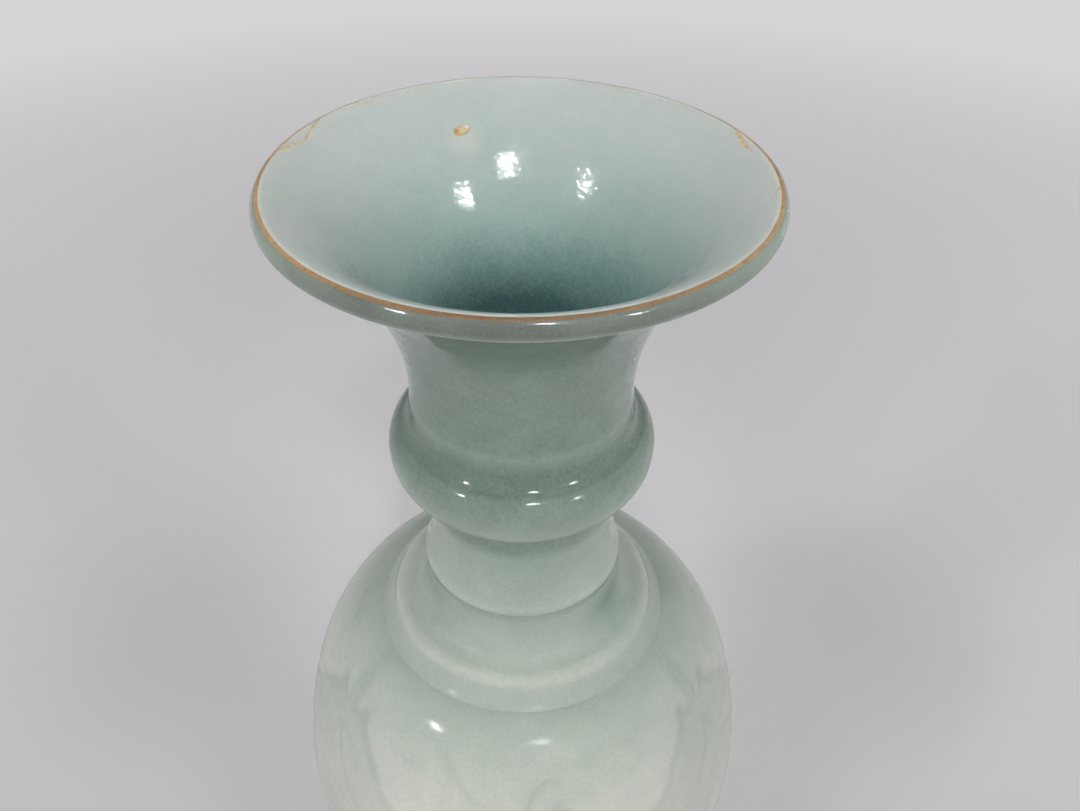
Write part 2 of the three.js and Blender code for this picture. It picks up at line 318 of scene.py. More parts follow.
# Inside of each section, from the lip down
def mouth_inside():
    crest = np.array((LIP_RADIUS - LIP_CREST_IN, LIP_TOP))
    inner = np.array((LIP_RADIUS - LIP_INNER_IN, LIP_TOP - LIP_INNER_DROP))
    inner_handle = inner + FLARE_ALONG * LIP_INNER_REACH
    ease = sweep(crest, crest - (LIP_CREST_REACH, 0.0), inner_handle, inner, STEPS_SHORT)
    throat = (NECK_BORE, NECK_SEAM)
    rise_handle = (NECK_BORE, NECK_SEAM + (inner[1] - NECK_SEAM) * NECK_REACH)
    flare = sweep(inner, inner - FLARE_ALONG * FLARE_REACH, rise_handle, throat, STEPS_LONG)
    return joined(ease, flare)


def bore_inside(top, bottom):
    return joined(upright_to_upright(top, bottom, ROUND_EASE, ROUND_EASE, STEPS_SHORT))


def upper_inside():
    shoulder_top = SHOULDER_SEAM - 2 * BODY_WALL
    line = shoulder_line(BELLY_RADIUS - BODY_WALL, SHOULDER_BORE, shoulder_top, STEPS_MID)
    return joined([(SHOULDER_BORE, SHOULDER_SEAM)], line[::-1])


def lower_inside():
    floor_top = FOOT_SEAM + FLOOR_THICKNESS
    top = (BELLY_RADIUS - BODY_WALL, BELLY_SEAM)
    side = upright_to_upright(top, (HEEL_BORE, floor_top), BELLY_REACH, HEEL_REACH, STEPS_MID)
    return joined(side, [(FLOOR_HOLE, floor_top), (FLOOR_HOLE, FOOT_SEAM)])


def foot_inside():
    land_inner = FOOT_RADIUS - FOOT_TOE - FOOT_LAND
    start = (ANKLE_BORE, FOOT_SEAM)
    end = (land_inner - FOOT_TOE, FOOT_TOE)
    hollow = upright_to_upright(start, end, ROUND_EASE, ROUND_EASE, STEPS_MID)
    ease = arc((land_inner, FOOT_TOE), FOOT_TOE, 180, 270, STEPS_TOE)
    return joined(hollow, ease)


SECTIONS = {
    "foot_ring": (foot_outside(), foot_inside()),
    "lower_body": (lower_outside(), lower_inside()),
    "upper_body": (upper_outside(), upper_inside()),
    "collar": (collar_outside(), bore_inside((COLLAR_BORE, STEP_SEAM), (SHOULDER_BORE, SHOULDER_SEAM))),
    "lower_neck": (sleeve_outside(), bore_inside((LOWER_NECK_BORE, RING_SEAM), (COLLAR_BORE, STEP_SEAM))),
    "neck_ring": (ring_outside(), bore_inside((NECK_BORE, NECK_SEAM), (LOWER_NECK_BORE, RING_SEAM))),
    "mouth_trumpet": (mouth_outside(), mouth_inside()),
}

# Slight unevenness of a vase turned by hand
OVAL = 0.10 * MM
OVAL_TURN = 0.7
THROWING_DEPTH = 0.035 * MM
THROWING_PITCH = 5.2 * MM
THROWING_LEAN = 0.8
THROWING_TURN = 0.4
THROWING_DRIFT = 6.0
THROWING_SWAY = 23.0
LIP_WAVE = 0.10 * MM
LIP_WAVE_TURN = 1.9
LIP_WAVE_THIRD = 0.5
LIP_WAVE_REACH = 22.0 * MM


def hand_turned(radius, height, angle):
    oval = OVAL * (np.cos(2 * angle + OVAL_TURN) - 1.0) * kept(radius / LIP_RADIUS)
    lean = THROWING_LEAN * np.sin(angle + THROWING_TURN)
    turns = 2 * math.pi * height / THROWING_PITCH + lean + THROWING_DRIFT * np.sin(height * THROWING_SWAY)
    ripple = THROWING_DEPTH * (np.sin(turns) - 1.0) * 0.5
    near_lip = kept((height - (LIP_TOP - LIP_WAVE_REACH)) / LIP_WAVE_REACH)
    swing = np.cos(2 * angle + LIP_WAVE_TURN) + LIP_WAVE_THIRD * np.cos(3 * angle)
    wave = LIP_WAVE * (swing - (1.0 + LIP_WAVE_THIRD)) * near_lip ** 2
    on_land = kept(height / FOOT_FLANGE)
    return radius + (oval + ripple) * on_land, height + wave


# Reach and scale of the hollows in which glaze pools and of the edges on which it thins
POOL_SIZES = ((1.4 * MM, 0.34 * MM), (4.0 * MM, 1.6 * MM))


# Glaze along a line: above 0 where it pools in a hollow, below 0 where it thins on an edge
def glaze_depth(line):
    along = run_along(line)
    tangent = unit(np.gradient(line, along, axis=0))
    normal = np.stack([tangent[:, 1], -tangent[:, 0]], 1)
    depth = np.zeros(len(line))
    for reach, scale in POOL_SIZES:
        before = at_length(along - reach, along, line)
        after = at_length(along + reach, along, line)
        hollow = np.einsum("ij,ij->i", (before + after) / 2 - line, normal)
        depth += np.clip(hollow / scale, -1.0, 1.0)
    return np.clip(depth, -1.0, 1.0)


# The whole skin as one line, so that the glaze runs on over the seams
def skin_depths():
    names = list(SECTIONS)
    runs = [SECTIONS[n][0] for n in names] + [SECTIONS[n][1] for n in reversed(names)]
    whole = np.concatenate(runs)
    keep = np.concatenate([[True], steps_of(whole) > SAME_SKIN_POINT])
    along = run_along(whole)
    depth = np.interp(along, along[keep], glaze_depth(whole[keep]))
    ends = np.cumsum([len(r) for r in runs])
    pieces = np.split(depth, ends[:-1])
    outside = dict(zip(names, pieces[:len(names)]))
    inside = dict(zip(reversed(names), pieces[len(names):]))
    return outside, inside


OUTSIDE_DEPTH, INSIDE_DEPTH = skin_depths()
SHARP_ANGLE = math.radians(48.0)
FRONT = math.radians(-90.0)


# An object in the scene
def linked(name, data):
    obj = bpy.data.objects.new(name, data)
    bpy.context.scene.collection.objects.link(obj)
    return obj


# A closed mesh from a grid: columns go round, and rows close on themselves or end in flat caps
def grid_mesh(name, points, attributes, capped=False):
    rows, columns = points.shape[:2]
    index = np.arange(rows * columns).reshape(rows, columns)
    right = np.roll(index, -1, axis=1)
    upper = np.roll(index, -1, axis=0)
    upper_right = np.roll(right, -1, axis=0)
    last = rows - 1 if capped else rows
    faces = np.stack([index, right, upper_right, upper], -1)[:last].reshape(-1, 4).tolist()
    if capped:
        faces += [index[0, ::-1].tolist(), index[-1].tolist()]
    mesh = bpy.data.meshes.new(name)
    mesh.from_pydata(points.reshape(-1, 3).tolist(), [], faces)
    for key, values in attributes.items():
        layer = mesh.attributes.new(key, "FLOAT", "POINT")
        layer.data.foreach_set("value", np.asarray(values, np.float32).ravel())
    mesh.polygons.foreach_set("use_smooth", [True] * len(mesh.polygons))
    mesh.set_sharp_from_angle(angle=SHARP_ANGLE)
    mesh.update()
    return linked(name, mesh)


# Even angles once round
def full_turn(count):
    return np.linspace(0.0, 2 * math.pi, count, endpoint=False)


# Degrees away from a middle, by the short way round
def degrees_from(middle, degrees):
    return (degrees - middle + 180.0) % 360.0 - 180.0


# Places from radius, height and angle
def around_axis(radius, height, angle):
    return np.stack([radius * np.cos(angle), radius * np.sin(angle), height], -1)


# The same, on the uneven wall
def turned(radius, height, angle):
    radius, height = hand_turned(radius, height, angle)
    return around_axis(radius, height, angle)


# Radius, height and angle of a line taken once round
def rounds(line, count):
    angle = full_turn(count)[None, :] + np.zeros((len(line), 1))
    radius = np.repeat(line[:, :1], count, axis=1)
    height = np.repeat(line[:, 1:], count, axis=1)
    return radius, height, angle


# The lip as one line from inside the crest to its outer side, measured from the crest
def lip_line():
    outside = SECTIONS["mouth_trumpet"][0][::-1]
    inside = SECTIONS["mouth_trumpet"][1]
    along = np.concatenate([-run_along(inside)[::-1], run_along(outside)[1:]])
    line = np.concatenate([inside[::-1], outside[1:]])
    return along, line


LIP_ALONG, LIP_LINE = lip_line()
LIP_STEP = 0.05 * MM


# Point and outward direction at a place along the lip line
def at_lip(along):
    here = at_length(along, LIP_ALONG, LIP_LINE)
    ahead = at_length(along + LIP_STEP, LIP_ALONG, LIP_LINE)
    behind = at_length(along - LIP_STEP, LIP_ALONG, LIP_LINE)
    tangent = unit(ahead - behind)
    normal = np.stack([-tangent[..., 1], tangent[..., 0]], -1)
    return here, normal


# Places in the mouth: degrees from the front, distance below the crest and height off the wall
def in_mouth(degrees, down, proud):
    here, normal = at_lip(-down)
    spot = here + normal * np.asarray(proud)[..., None]
    return turned(spot[..., 0], np.minimum(spot[..., 1], LIP_TOP), FRONT + np.radians(degrees))


# Incised cloud-collar lappets on the shoulder: degrees from a lappet's middle, and height
LAPPETS = 3
LAPPET_EDGE = (
    (60.6, 184.9), (60.9, 180.5), (61.2, 176.5), (61.6, 173.8), (60.2, 172.0), (57.2, 171.2),
    (54.2, 172.0), (52.6, 173.2), (51.8, 171.0), (49.2, 168.7), (46.2, 166.6), (43.0, 163.6),
    (40.2, 160.0), (36.0, 156.6), (31.0, 154.4), (26.4, 154.2), (22.2, 156.2), (20.0, 153.2),
    (15.6, 149.6), (9.6, 146.4), (4.2, 143.6), (0.0, 141.4),
)
LAPPET_TOP = LAPPET_EDGE[0][1]
OUTER_ECHO = (
    (60.0, 164.6), (57.6, 159.8), (53.8, 154.4), (49.4, 150.2), (44.0, 147.4), (37.4, 146.2),
    (31.0, 146.6),
)
LEFT_SCROLL = (
    (-23.0, 176.0), (-20.4, 174.2), (-17.4, 171.8), (-14.0, 169.0), (-11.2, 166.0), (-9.8, 162.4),
    (-11.2, 159.2), (-14.4, 158.4), (-16.6, 160.6), (-15.6, 163.4), (-13.6, 163.6),
)
RIGHT_SCROLL = (
    (9.2, 173.4), (6.2, 173.6), (3.2, 172.2), (1.5, 169.6), (1.4, 166.4), (3.2, 163.0),
    (6.8, 161.2), (10.4, 162.6), (11.2, 166.0), (8.8, 167.8), (6.6, 166.4),
)
LEAF = ((21.0, 182.6), (26.0, 181.2), (31.0, 180.4), (36.0, 179.2))
LEAF_COPY_TURN = 2.0
LEAF_COPY_RISE = 0.9
EDGE_POINTS = 240
STROKE_POINTS = 72
LINE_DEPTH = 0.32 * MM
LINE_WIDTH = 1.7 * MM
LINE_FAINT = 0.35
LINE_FAINT_LEVEL = 150.0
LINE_FULL_LEVEL = 174.0
STROKE_LIFT = 0.9 * MM
LINE_DEEP = 0.14
FIELD_PALE = 0.07
GROUND_DEEP = 0.08
FIELD_RISE = 0.40 * MM
FIELD_BLUR = 3.0 * MM

# The carving starts over this share of the rows, ends over a few rows, and keeps clear of the collar
CARVE_START = 0.125
CARVE_END_ROWS = 5.0
CARVE_CLEAR = 0.5
RELIEF_EASE = 8.0 * MM

# A smooth line has this many steps between set points, and distances are taken part by part
THROUGH_STEPS = 12
DISTANCE_PART = 24
FAR_AWAY = 1.0
LEVEL_RISE = 1e-9


# A smooth line through given points, evenly spaced
def through(points, count):
    p = np.array(points, float)
    ends = np.vstack([2 * p[0] - p[1], p, 2 * p[-1] - p[-2]])
    t = np.linspace(0.0, 1.0, THROUGH_STEPS, endpoint=False)[:, None]
    pieces = []
    for a, b, c, d in zip(ends[:-3], ends[1:-2], ends[2:-1], ends[3:]):
        bend = (2 * a - 5 * b + 4 * c - d) * t ** 2 + (3 * b - a - 3 * c + d) * t ** 3
        pieces.append(0.5 * (2 * b + (c - a) * t + bend))
    fine = np.vstack(pieces + [p[-1:]])
    along = run_along(fine)
    return at_length(np.linspace(0.0, along[-1], count), along, fine)


# Places on the shoulder from degrees and heights
def on_shoulder(line, middle):
    outside = SECTIONS["upper_body"][0]
    height = np.clip(line[:, 1] * MM, BELLY_SEAM, SHOULDER_SEAM)
    order = np.argsort(outside[:, 1], kind="stable")
    radius = np.interp(height, outside[order, 1], outside[order, 0])
    return around_axis(radius, height, FRONT + math.radians(middle) + np.radians(line[:, 0]))


# Distance from each point to the nearest point of a line
def distance_to(points, line):
    nearest = np.full(len(points), FAR_AWAY)
    for start in range(0, len(line), DISTANCE_PART):
        part = line[start:start + DISTANCE_PART]
        gap = np.linalg.norm(points[:, None, :] - part[None, :, :], axis=2).min(axis=1)
        nearest = np.minimum(nearest, gap)
    return nearest


# Which points lie inside a closed outline, by counting crossings
def inside_outline(x, y, outline):
    within = np.zeros(len(x), bool)
    for (x0, y0), (x1, y1) in zip(outline, np.roll(outline, -1, axis=0)):
        crosses = (y0 > y) != (y1 > y)
        rise = y1 - y0 if y1 != y0 else LEVEL_RISE
        within ^= crosses & (x < (x1 - x0) * (y - y0) / rise + x0)
    return within


# Strokes in and beside a lappet; the last lappet also has a pair of leaves
def lappet_strokes(number):
    strokes = [LEFT_SCROLL, RIGHT_SCROLL, OUTER_ECHO, [(-a, z) for a, z in OUTER_ECHO]]
    if number == LAPPETS - 1:
        strokes += [LEAF, [(a + LEAF_COPY_TURN, z + LEAF_COPY_RISE) for a, z in LEAF]]
    return strokes


# Raised lappets with incised lines: how far the wall moves out, and how much deeper the glaze lies
def carved_relief(radius, height, angle):
    shape = radius.shape
    points = around_axis(radius, height, angle).reshape(-1, 3)
    degrees = np.degrees(angle - FRONT).ravel()
    tall = height.ravel() / MM
    relief = np.zeros(len(points))
    lines = np.full(len(points), FAR_AWAY)
    right = through(LAPPET_EDGE, EDGE_POINTS)
    left = right[::-1] * (-1, 1)
    outline = np.vstack([right, left])
    for number in range(LAPPETS):
        middle = 360.0 / LAPPETS * number
        within = inside_outline(degrees_from(middle, degrees), tall, outline)
        edge = np.minimum(distance_to(points, on_shoulder(right, middle)),
                          distance_to(points, on_shoulder(left, middle)))
        signed = np.where(within, edge, -edge)
        relief += FIELD_RISE * (0.5 + 0.5 * np.tanh(signed / FIELD_BLUR)) * (tall < LAPPET_TOP)
        lines = np.minimum(lines, edge)
        for stroke in lappet_strokes(number):
            path = on_shoulder(through(stroke, STROKE_POINTS), middle)
            lines = np.minimum(lines, distance_to(points, path) + STROKE_LIFT)
    groove = np.exp(-(lines / LINE_WIDTH) ** 2)
    level = kept((tall - LINE_FAINT_LEVEL) / (LINE_FULL_LEVEL - LINE_FAINT_LEVEL))
    groove *= LINE_FAINT + (1.0 - LINE_FAINT) * level
    field = kept(relief / FIELD_RISE)
    deeper = GROUND_DEEP - (GROUND_DEEP + FIELD_PALE) * field + LINE_DEEP * groove
    return (relief - LINE_DEPTH * groove).reshape(shape), deeper.reshape(shape)


# The glaze turns bluer inside, over this length from the crest, and darkens towards the throat, partly
# deeper glaze and partly painted shade
INSIDE_BLEND = 1.0 * MM
INSIDE_PALE = 0.14
THROAT_SHADE_START = 8.0 * MM
THROAT_SHADE_LENGTH = 46.0 * MM
THROAT_SHADE_EASE = 1.3

# Depth of the glaze outside, at even steps up each section, from 0 pale to 1 deep; the steps hold painted
# shade as well as glaze depth, darker on the neck under the lip, on the top of the ring and on the shoulder
# towards the collar
OUTSIDE_DEPTH_AND_SHADE = {
    "foot_ring": (0.34, 0.26),
    "lower_body": (0.26, 0.16, 0.06, 0.0),
    "upper_body": (0.0, 0.02, 0.10, 0.22, 0.40, 0.60),
    "collar": (0.42, 0.35, 0.26, 0.28, 0.33, 0.39, 0.44),
    "lower_neck": (0.48, 0.44, 0.38, 0.38, 0.40, 0.44, 0.47, 0.50, 0.55, 0.58, 0.56),
    "neck_ring": (0.40, 0.38, 0.32, 0.36, 0.52, 0.74, 0.90, 1.0, 0.98, 0.94, 0.84),
    "mouth_trumpet": (0.84, 0.82, 0.80, 0.82, 0.87, 0.92),
}
POOL_SHARE = 0.27
POOL_SOFT = {"collar": 0.2, "lower_neck": 0.25, "upper_body": 0.6, "neck_ring": 0.25}
INSIDE_POOL_SOFT = 0.4

# Glaze gathers on the sleeve right under the ring, in a darker band that is also painted shade of the ring
RING_SHADE_BAND = 0.26
RING_SHADE_DROP = 9.6 * MM
RING_SHADE_EDGE = 3.0 * MM

# It also gathers at two places under the step, made darker there as painted shade: degrees from the front
# and amount
STEP_SHADE_POOLS = ((60.0, 0.40), (-60.0, 0.14))
STEP_SHADE_TURN = 17.0
STEP_SHADE_DROP = 8.5 * MM
STEP_SHADE_REACH = 4.5 * MM

# It is thin over grey clay on a band round the outside of the lip, and pale on the edge under that band
LIP_BAND = 4.9 * MM
LIP_BAND_EDGE = 1.4 * MM
LIP_EDGE_PALE = 0.42
LIP_EDGE_DROP = 5.2 * MM
LIP_EDGE_REACH = 0.9 * MM


# Depth of the glaze with painted shade in it, and the band of thin glaze, up the outside of a section
def outside_layers(node, outside):
    climb = run_along(outside)
    steps = OUTSIDE_DEPTH_AND_SHADE[node]
    depth = np.interp(climb / climb[-1], np.linspace(0.0, 1.0, len(steps)), steps)
    # Painted shade of the ring, with gathered glaze, darkens the top of the sleeve
    if node == "lower_neck":
        rise = outside[:, 1] - RING_SEAM + RING_SHADE_DROP
        depth += RING_SHADE_BAND * kept(rise / RING_SHADE_EDGE)
    pool = OUTSIDE_DEPTH[node] * POOL_SOFT.get(node, 1.0)
    if node == "collar":
        pool *= kept(climb / COLLAR_FILLET)
    depth += POOL_SHARE * pool
    band = np.zeros(len(outside))
    if node == "mouth_trumpet":
        from_crest = climb[-1] - climb
        band = kept((LIP_BAND - from_crest) / LIP_BAND_EDGE)
        depth -= LIP_EDGE_PALE * np.exp(-((from_crest - LIP_EDGE_DROP) / LIP_EDGE_REACH) ** 2)
    return depth, band


# Depth of the glaze with painted shade towards the throat, and its share of the inside colour, down the
# inside of a section
def inside_layers(node, inside):
    run = run_along(inside)
    throat_shade = np.ones(len(inside))
    within = np.ones(len(inside))
    if node == "mouth_trumpet":
        # Painted shade, with deeper glaze, down the mouth towards the throat
        throat_shade = kept((run - THROAT_SHADE_START) / THROAT_SHADE_LENGTH)
        within = kept(run / INSIDE_BLEND)
    depth = INSIDE_PALE + (1.0 - INSIDE_PALE) * throat_shade ** THROAT_SHADE_EASE
    return depth + POOL_SHARE * INSIDE_DEPTH[node] * INSIDE_POOL_SOFT, within


# Depth that the pools under the step add on the outside of a section: gathered glaze and painted shade
def step_shade_pools(outside, angle):
    degrees = np.degrees(angle - FRONT)
    drop = (outside[:, 1:] - STEP_SEAM + STEP_SHADE_DROP) / STEP_SHADE_REACH
    pools = np.zeros((len(outside), angle.shape[1]))
    for middle, amount in STEP_SHADE_POOLS:
        near = (degrees_from(middle, degrees) / STEP_SHADE_TURN) ** 2 + drop ** 2
        pools += amount * np.exp(-near)
    return pools


# Relief worked into the outside of a section
def carve(outside, radius, height, angle, depth):
    count = len(outside)
    row = np.arange(count)
    relief, deeper = carved_relief(radius[:count], height[:count], angle[:count])
    tangent = unit(np.gradient(outside, axis=0))
    ease = kept(row / count / CARVE_START)
    ease *= kept((count - 1 - row) / CARVE_END_ROWS)
    from_collar = outside[:, 0] - COLLAR_RADIUS - CARVE_CLEAR * COLLAR_FILLET
    ease *= kept(from_collar / RELIEF_EASE)
    radius[:count] += relief * (tangent[:, 1] * ease)[:, None]
    height[:count] -= relief * (tangent[:, 0] * ease)[:, None]
    depth[:count] += deeper * ease[:, None]


# A turned section: outside and inside as one closed skin
def section(node, count, carved=False):
    outside, inside = SECTIONS[node]
    radius, height, angle = rounds(np.concatenate([outside, inside]), count)
    depth_out, band = outside_layers(node, outside)
    depth_in, within = inside_layers(node, inside)
    depth = np.concatenate([depth_out, depth_in])
    band = np.concatenate([band, np.zeros(len(inside))])
    within = np.concatenate([np.zeros(len(outside)), within])
    depth, band, within = (np.repeat(layer[:, None], count, axis=1) for layer in (depth, band, within))
    # Painted shade, with gathered glaze, in two pockets under the step
    if node in ("collar", "lower_neck"):
        depth[:len(outside)] += step_shade_pools(outside, angle[:1])
    if carved:
        carve(outside, radius, height, angle, depth)
    layers = {"glaze_depth": kept(depth), "glaze_inside": within, "lip_band": band}
    return grid_mesh(node + "_glazed", turned(radius, height, angle), layers)


# Sockets and links of a node tree in short form
class Graph:
    def __init__(self, owner):
        owner.use_nodes = True
        self.tree = owner.node_tree
        self.tree.nodes.clear()
        self.places = self.node("ShaderNodeTexCoord").outputs
        self.place = self.places["Object"]

    def node(self, kind, settings=None, **inputs):
        made = self.tree.nodes.new(kind)
        for key, value in (settings or {}).items():
            setattr(made, key, value)
        for key, value in inputs.items():
            self.put(made.inputs[key.replace("_", " ")], value)
        return made

    def put(self, socket, value):
        if isinstance(value, bpy.types.NodeSocket):
            self.tree.links.new(value, socket)
        else:
            socket.default_value = value

    def math(self, operation, first, second, clamp=False):
        made = self.node("ShaderNodeMath", {"operation": operation, "use_clamp": clamp})
        self.put(made.inputs[0], first)
        self.put(made.inputs[1], second)
        return made.outputs[0]

    def noise(self, scale, detail):
        made = self.node("ShaderNodeTexNoise", Vector=self.place, Scale=scale, Detail=detail)
        return made.outputs["Fac"]

    def cells(self, scale):
        made = self.node("ShaderNodeTexVoronoi", Vector=self.place, Scale=scale)
        return made.outputs["Distance"]

    def attribute(self, name):
        return self.node("ShaderNodeAttribute", {"attribute_name": name}).outputs["Fac"]

    def ramp(self, factor, stops):
        made = self.tree.nodes.new("ShaderNodeValToRGB")
        elements = made.color_ramp.elements
        while len(elements) < len(stops):
            elements.new(1.0)
        for element, (position, colour) in zip(elements, stops):
            element.position = position
            element.color = colour
        self.put(made.inputs["Fac"], factor)
        return made.outputs["Color"]

    def mix(self, factor, first, second):
        made = self.node("ShaderNodeMix", {"data_type": "RGBA"})
        self.put(made.inputs[0], factor)
        self.put(made.inputs[6], first)
        self.put(made.inputs[7], second)
        return made.outputs[2]

    def span(self, value, low, high, to_low=0.0, to_high=1.0):
        made = self.node("ShaderNodeMapRange", Value=value, From_Min=low, From_Max=high)
        self.put(made.inputs["To Min"], to_low)
        self.put(made.inputs["To Max"], to_high)
        return made.outputs["Result"]

    # 1 where the backdrop is seen, straight or mirrored, and 0 where it would light the vase
    def shown(self):
        path = self.node("ShaderNodeLightPath").outputs
        mirrored = self.math("ADD", path["Is Glossy Ray"], path["Is Transmission Ray"])
        return self.math("ADD", path["Is Camera Ray"], mirrored, clamp=True)

    # Noise with the range from low to high stretched between two values
    def cloud(self, scale, detail, low, high, at_low, at_high):
        return self.span(self.noise(scale, detail), low, high, at_low, at_high)

    # A share that falls from a core round a place to nothing at a reach
    def spot(self, place, core, reach, share):
        away = self.node("ShaderNodeVectorMath", {"operation": "DISTANCE"})
        self.put(away.inputs[0], self.place)
        self.put(away.inputs[1], place)
        return self.span(away.outputs["Value"], core, reach, share, 0.0)

    # Fine unevenness, alone or on top of another
    def dimples(self, scale, detail, depth, strength, under=None):
        height = self.noise(scale, detail)
        made = self.node("ShaderNodeBump", Height=height, Distance=depth, Strength=strength)
        if under is not None:
            self.put(made.inputs["Normal"], under)
        return made.outputs["Normal"]


# A material, dressed by its colour, roughness and unevenness
class Surface(Graph):
    def __init__(self, name):
        self.material = bpy.data.materials.new(name)
        super().__init__(self.material)
        self.output = self.node("ShaderNodeOutputMaterial")
        self.shader = self.node("ShaderNodeBsdfPrincipled")
        self.put(self.output.inputs["Surface"], self.shader.outputs["BSDF"])

    def dressed(self, colour, roughness, normal):
        self.put(self.shader.inputs["Base Color"], colour)
        self.put(self.shader.inputs["Roughness"], roughness)
        self.put(self.shader.inputs["Normal"], normal)
        return self.material


SCREEN_WHITE = 255
SCREEN_GAMMA = 2.4
SCREEN_LIFT = 0.055


# A colour as seen on a screen, 0 to 255, made linear
def seen(*colour):
    shares = [value / SCREEN_WHITE for value in colour]
    linear = [((share + SCREEN_LIFT) / (1.0 + SCREEN_LIFT)) ** SCREEN_GAMMA for share in shares]
    return (*linear, 1.0)


OUTSIDE_GLAZE = (
    (0.0, seen(216, 216, 207)),
    (0.25, seen(185, 194, 183)),
    (0.5, seen(160, 174, 162)),
    (0.75, seen(141, 157, 145)),
    (1.0, seen(107, 125, 113)),
)
INSIDE_GLAZE = (
    (0.0, seen(189, 195, 190)),
    (0.25, seen(173, 186, 181)),
    (0.5, seen(154, 176, 171)),
    (0.75, seen(117, 148, 144)),
    (1.0, seen(70, 103, 101)),
)
LIP_GREY = seen(94, 98, 92)
HALO_PALE = seen(201, 200, 193)
BUBBLE_HAZE = seen(194, 197, 190)
CLAY = seen(158, 112, 76)
CLAY_DARK = seen(112, 72, 46)

# Clouds: how many to a metre, detail, low and high noise, and the value at each
BROAD_CLOUDS = (30.0, 3.0, 0.3, 0.7, -0.05, 0.05)
SMALL_CLOUDS = (190.0, 4.0, 0.3, 0.7, -0.03, 0.03)
GLAZE_GRAIN = (1100.0, 2.0, 0.3, 0.7, -0.04, 0.04)
GLAZE_GLOSS = (260.0, 3.0, 0.3, 0.7, 0.07, 0.12)
LIP_PATCHES = (70.0, 2.0, 0.35, 0.65, 0.75, 1.0)
CLAY_EDGE_WANDER = (150.0, 3.0, 0.3, 0.7, -0.5 * MM, 0.5 * MM)
CLAY_CLOUDS = (420.0, 4.0)

# Bubbles in the glaze: how many to a metre, and the haze at their middle
BUBBLES = 1900.0
BUBBLE_EDGE = 0.42
BUBBLE_SHARE = 0.16

# Clay shows grey through the thin glaze at the lip, most at the front as painted shade, and is bare up to
# this height at the foot
LIP_SHADE_FROM = 0.5
LIP_SHADE_BACK = 0.35
CLAY_BARE = 0.9 * MM
CLAY_COVERED = 1.5 * MM
CLAY_ROUGH = 0.5
BODY_SATIN = 0.07

# Dimples: how many to a metre, detail, depth, and strength where it is the same all over
GLAZE_SWELL = (300.0, 1.0, 0.05 * MM, 0.2)
GLAZE_PEEL = (850.0, 2.0, 0.11 * MM)

# The glaze is smooth on the body, a little uneven on the ring and pitted at the back of the mouth
PEEL_EDGE = 3.0 * MM
PEEL_ON_RING = 0.2
PEEL_RISE = 25.0 * MM
PEEL_IN_MOUTH = 0.6
PEEL_AT_SIDES = 0.25
PEEL_BACK = 0.5

# A speck of kiln grit that melted into the glaze inside the mouth, with a pale halo below it
SPECK_DEGREES = -159.9
SPECK_DOWN = 13.1 * MM
SPECK_LENGTH = 3.9 * MM
SPECK_WIDTH = 2.2 * MM
SPECK_RISE = 0.55 * MM
SPECK_SLANT = math.radians(10.0)
HALO_DROP = 2.2 * MM
HALO_CORE = 1.6 * MM
HALO_REACH = 5.6 * MM
HALO_SHARE = 0.5


# A place on the kiln speck: along its length, across it and off the wall
def on_speck(along, across, proud):
    side = -(along * math.cos(SPECK_SLANT) + across * math.sin(SPECK_SLANT))
    down = across * math.cos(SPECK_SLANT) - along * math.sin(SPECK_SLANT)
    radius = np.interp(-SPECK_DOWN, LIP_ALONG, LIP_LINE[:, 0])
    return in_mouth(SPECK_DEGREES + np.degrees(side / radius), SPECK_DOWN + down, proud)


# Paler on edges, deeper in hollows, grey where it is thin at the lip and greyest at the front as painted
# shade, and full of fine bubbles
def glaze_colour(g, across):
    darkening = g.math("ADD", g.attribute("glaze_depth"), g.cloud(*BROAD_CLOUDS))
    uneven = g.math("ADD", g.cloud(*SMALL_CLOUDS), g.cloud(*GLAZE_GRAIN))
    depth = g.math("ADD", darkening, uneven, clamp=True)
    colour = g.mix(g.attribute("glaze_inside"), g.ramp(depth, OUTSIDE_GLAZE), g.ramp(depth, INSIDE_GLAZE))
    # Painted shade: the grey of the lip is strongest at the front
    front_shade = g.span(across, -LIP_RADIUS, -LIP_SHADE_FROM * LIP_RADIUS, 1.0, LIP_SHADE_BACK)
    patches = g.math("MULTIPLY", g.cloud(*LIP_PATCHES), front_shade)
    colour = g.mix(g.math("MULTIPLY", g.attribute("lip_band"), patches), colour, LIP_GREY)
    haze = g.span(g.cells(BUBBLES), 0.0, BUBBLE_EDGE, BUBBLE_SHARE, 0.0)
    colour = g.mix(haze, colour, BUBBLE_HAZE)
    below_speck = in_mouth(SPECK_DEGREES, SPECK_DOWN + HALO_DROP, 0.0)
    return g.mix(g.spot(below_speck, HALO_CORE, HALO_REACH, HALO_SHARE), colour, HALO_PALE)


def glaze_unevenness(g, across, height):
    on_ring = g.span(height, RING_SEAM, RING_SEAM + PEEL_EDGE, 0.0, PEEL_ON_RING)
    in_neck = g.span(height, NECK_SEAM, NECK_SEAM + PEEL_RISE, 0.0, PEEL_IN_MOUTH)
    at_back = g.span(across, 0.0, PEEL_BACK * LIP_RADIUS, PEEL_AT_SIDES, 1.0)
    pitted = g.math("MULTIPLY", g.math("MULTIPLY", in_neck, at_back), g.attribute("glaze_inside"))
    return g.dimples(*GLAZE_PEEL, g.math("ADD", on_ring, pitted), g.dimples(*GLAZE_SWELL))


